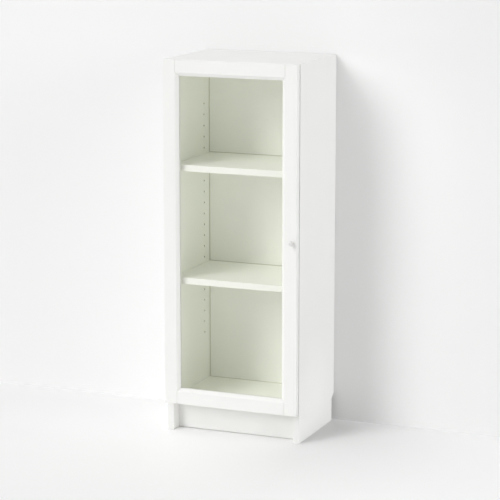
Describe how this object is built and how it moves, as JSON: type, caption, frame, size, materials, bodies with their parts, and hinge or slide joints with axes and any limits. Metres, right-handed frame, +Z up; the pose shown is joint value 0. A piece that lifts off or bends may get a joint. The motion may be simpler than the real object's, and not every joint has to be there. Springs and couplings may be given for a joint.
{
  "type": "bookcase with glass door",
  "caption": "Narrow free-standing bookcase with two adjustable shelves behind one framed glass door that swings on two concealed link hinges.",
  "frame": {"origin": "on the floor, under the middle of the whole outline, with the knob counted in its depth", "axes": "+X to the right seen from the front, +Y to the back of the bookcase, +Z up"},
  "size_m": [0.4, 0.314, 1.06],
  "materials": {
    "white_foil_board": "satin white foil on particleboard",
    "white_lacquer": "satin white lacquer on fibreboard",
    "white_hardboard": "matt white painted hardboard",
    "beech_dowel": "raw turned beech",
    "clear_glass": "clear toughened float glass",
    "white_plastic": "satin moulded plastic",
    "clear_pad": "clear soft pad",
    "nickel_steel": "nickel plated steel",
    "zinc_steel": "zinc plated steel"
  },
  "bodies": {
    "carcass": {"left_side_panel": "white_foil_board", "right_side_panel": "white_foil_board", "top_panel": "white_foil_board", "bottom_panel": "white_foil_board", "back_panel": "white_hardboard", "plinth": "white_foil_board", "left_plinth_dowel": "beech_dowel", "right_plinth_dowel": "beech_dowel", "lower_shelf": "white_foil_board", "upper_shelf": "white_foil_board", "lower_shelf_pin_left_front": "nickel_steel", "lower_shelf_pin_left_rear": "nickel_steel", "lower_shelf_pin_right_front": "nickel_steel", "lower_shelf_pin_right_rear": "nickel_steel", "upper_shelf_pin_left_front": "nickel_steel", "upper_shelf_pin_left_rear": "nickel_steel", "upper_shelf_pin_right_front": "nickel_steel", "upper_shelf_pin_right_rear": "nickel_steel", "bottom_front_left_cam_bolt": "zinc_steel", "bottom_front_right_cam_bolt": "zinc_steel", "bottom_rear_left_cam_bolt": "zinc_steel", "bottom_rear_right_cam_bolt": "zinc_steel", "top_front_left_cam_bolt": "zinc_steel", "top_front_right_cam_bolt": "zinc_steel", "top_rear_left_cam_bolt": "zinc_steel", "top_rear_right_cam_bolt": "zinc_steel", "bottom_front_left_cam_lock": "zinc_steel", "bottom_front_right_cam_lock": "zinc_steel", "bottom_rear_left_cam_lock": "zinc_steel", "bottom_rear_right_cam_lock": "zinc_steel", "top_front_left_cam_lock": "zinc_steel", "top_front_right_cam_lock": "zinc_steel", "top_rear_left_cam_lock": "zinc_steel", "top_rear_right_cam_lock": "zinc_steel", "lower_hinge_arm": "nickel_steel", "lower_hinge_arm_pin": "nickel_steel", "lower_hinge_plate": "nickel_steel", "lower_hinge_plate_screw_lower": "zinc_steel", "lower_hinge_plate_screw_upper": "zinc_steel", "upper_hinge_arm": "nickel_steel", "upper_hinge_arm_pin": "nickel_steel", "upper_hinge_plate": "nickel_steel", "upper_hinge_plate_screw_lower": "zinc_steel", "upper_hinge_plate_screw_upper": "zinc_steel"},
    "hinge_links": {"lower_hinge_link": "nickel_steel", "upper_hinge_link": "nickel_steel"},
    "door": {"left_door_stile": "white_lacquer", "right_door_stile": "white_lacquer", "bottom_door_rail": "white_lacquer", "top_door_rail": "white_lacquer", "glass_pane": "clear_glass", "glass_retainer": "white_plastic", "knob": "white_lacquer", "knob_screw": "zinc_steel", "lower_closing_pad": "clear_pad", "upper_closing_pad": "clear_pad", "lower_hinge_cup": "nickel_steel", "lower_hinge_cup_pin": "nickel_steel", "upper_hinge_cup": "nickel_steel", "upper_hinge_cup_pin": "nickel_steel"}
  },
  "joints": [
    {"name": "link_swing", "type": "hinge", "parent": "carcass", "child": "hinge_links", "pos_m": [-0.17, -0.118, 0.572], "axis": [0, 0, 1], "range_deg": [0, 30]},
    {"name": "door_swing", "type": "hinge", "parent": "hinge_links", "child": "door", "pos_m": [-0.1895, -0.1285, 0.572], "axis": [0, 0, -1], "range_deg": [0, 130]}
  ],
  "couplings": [
    {"joint": "link_swing", "follows": "door_swing", "ratio": 0.23076}
  ]
}
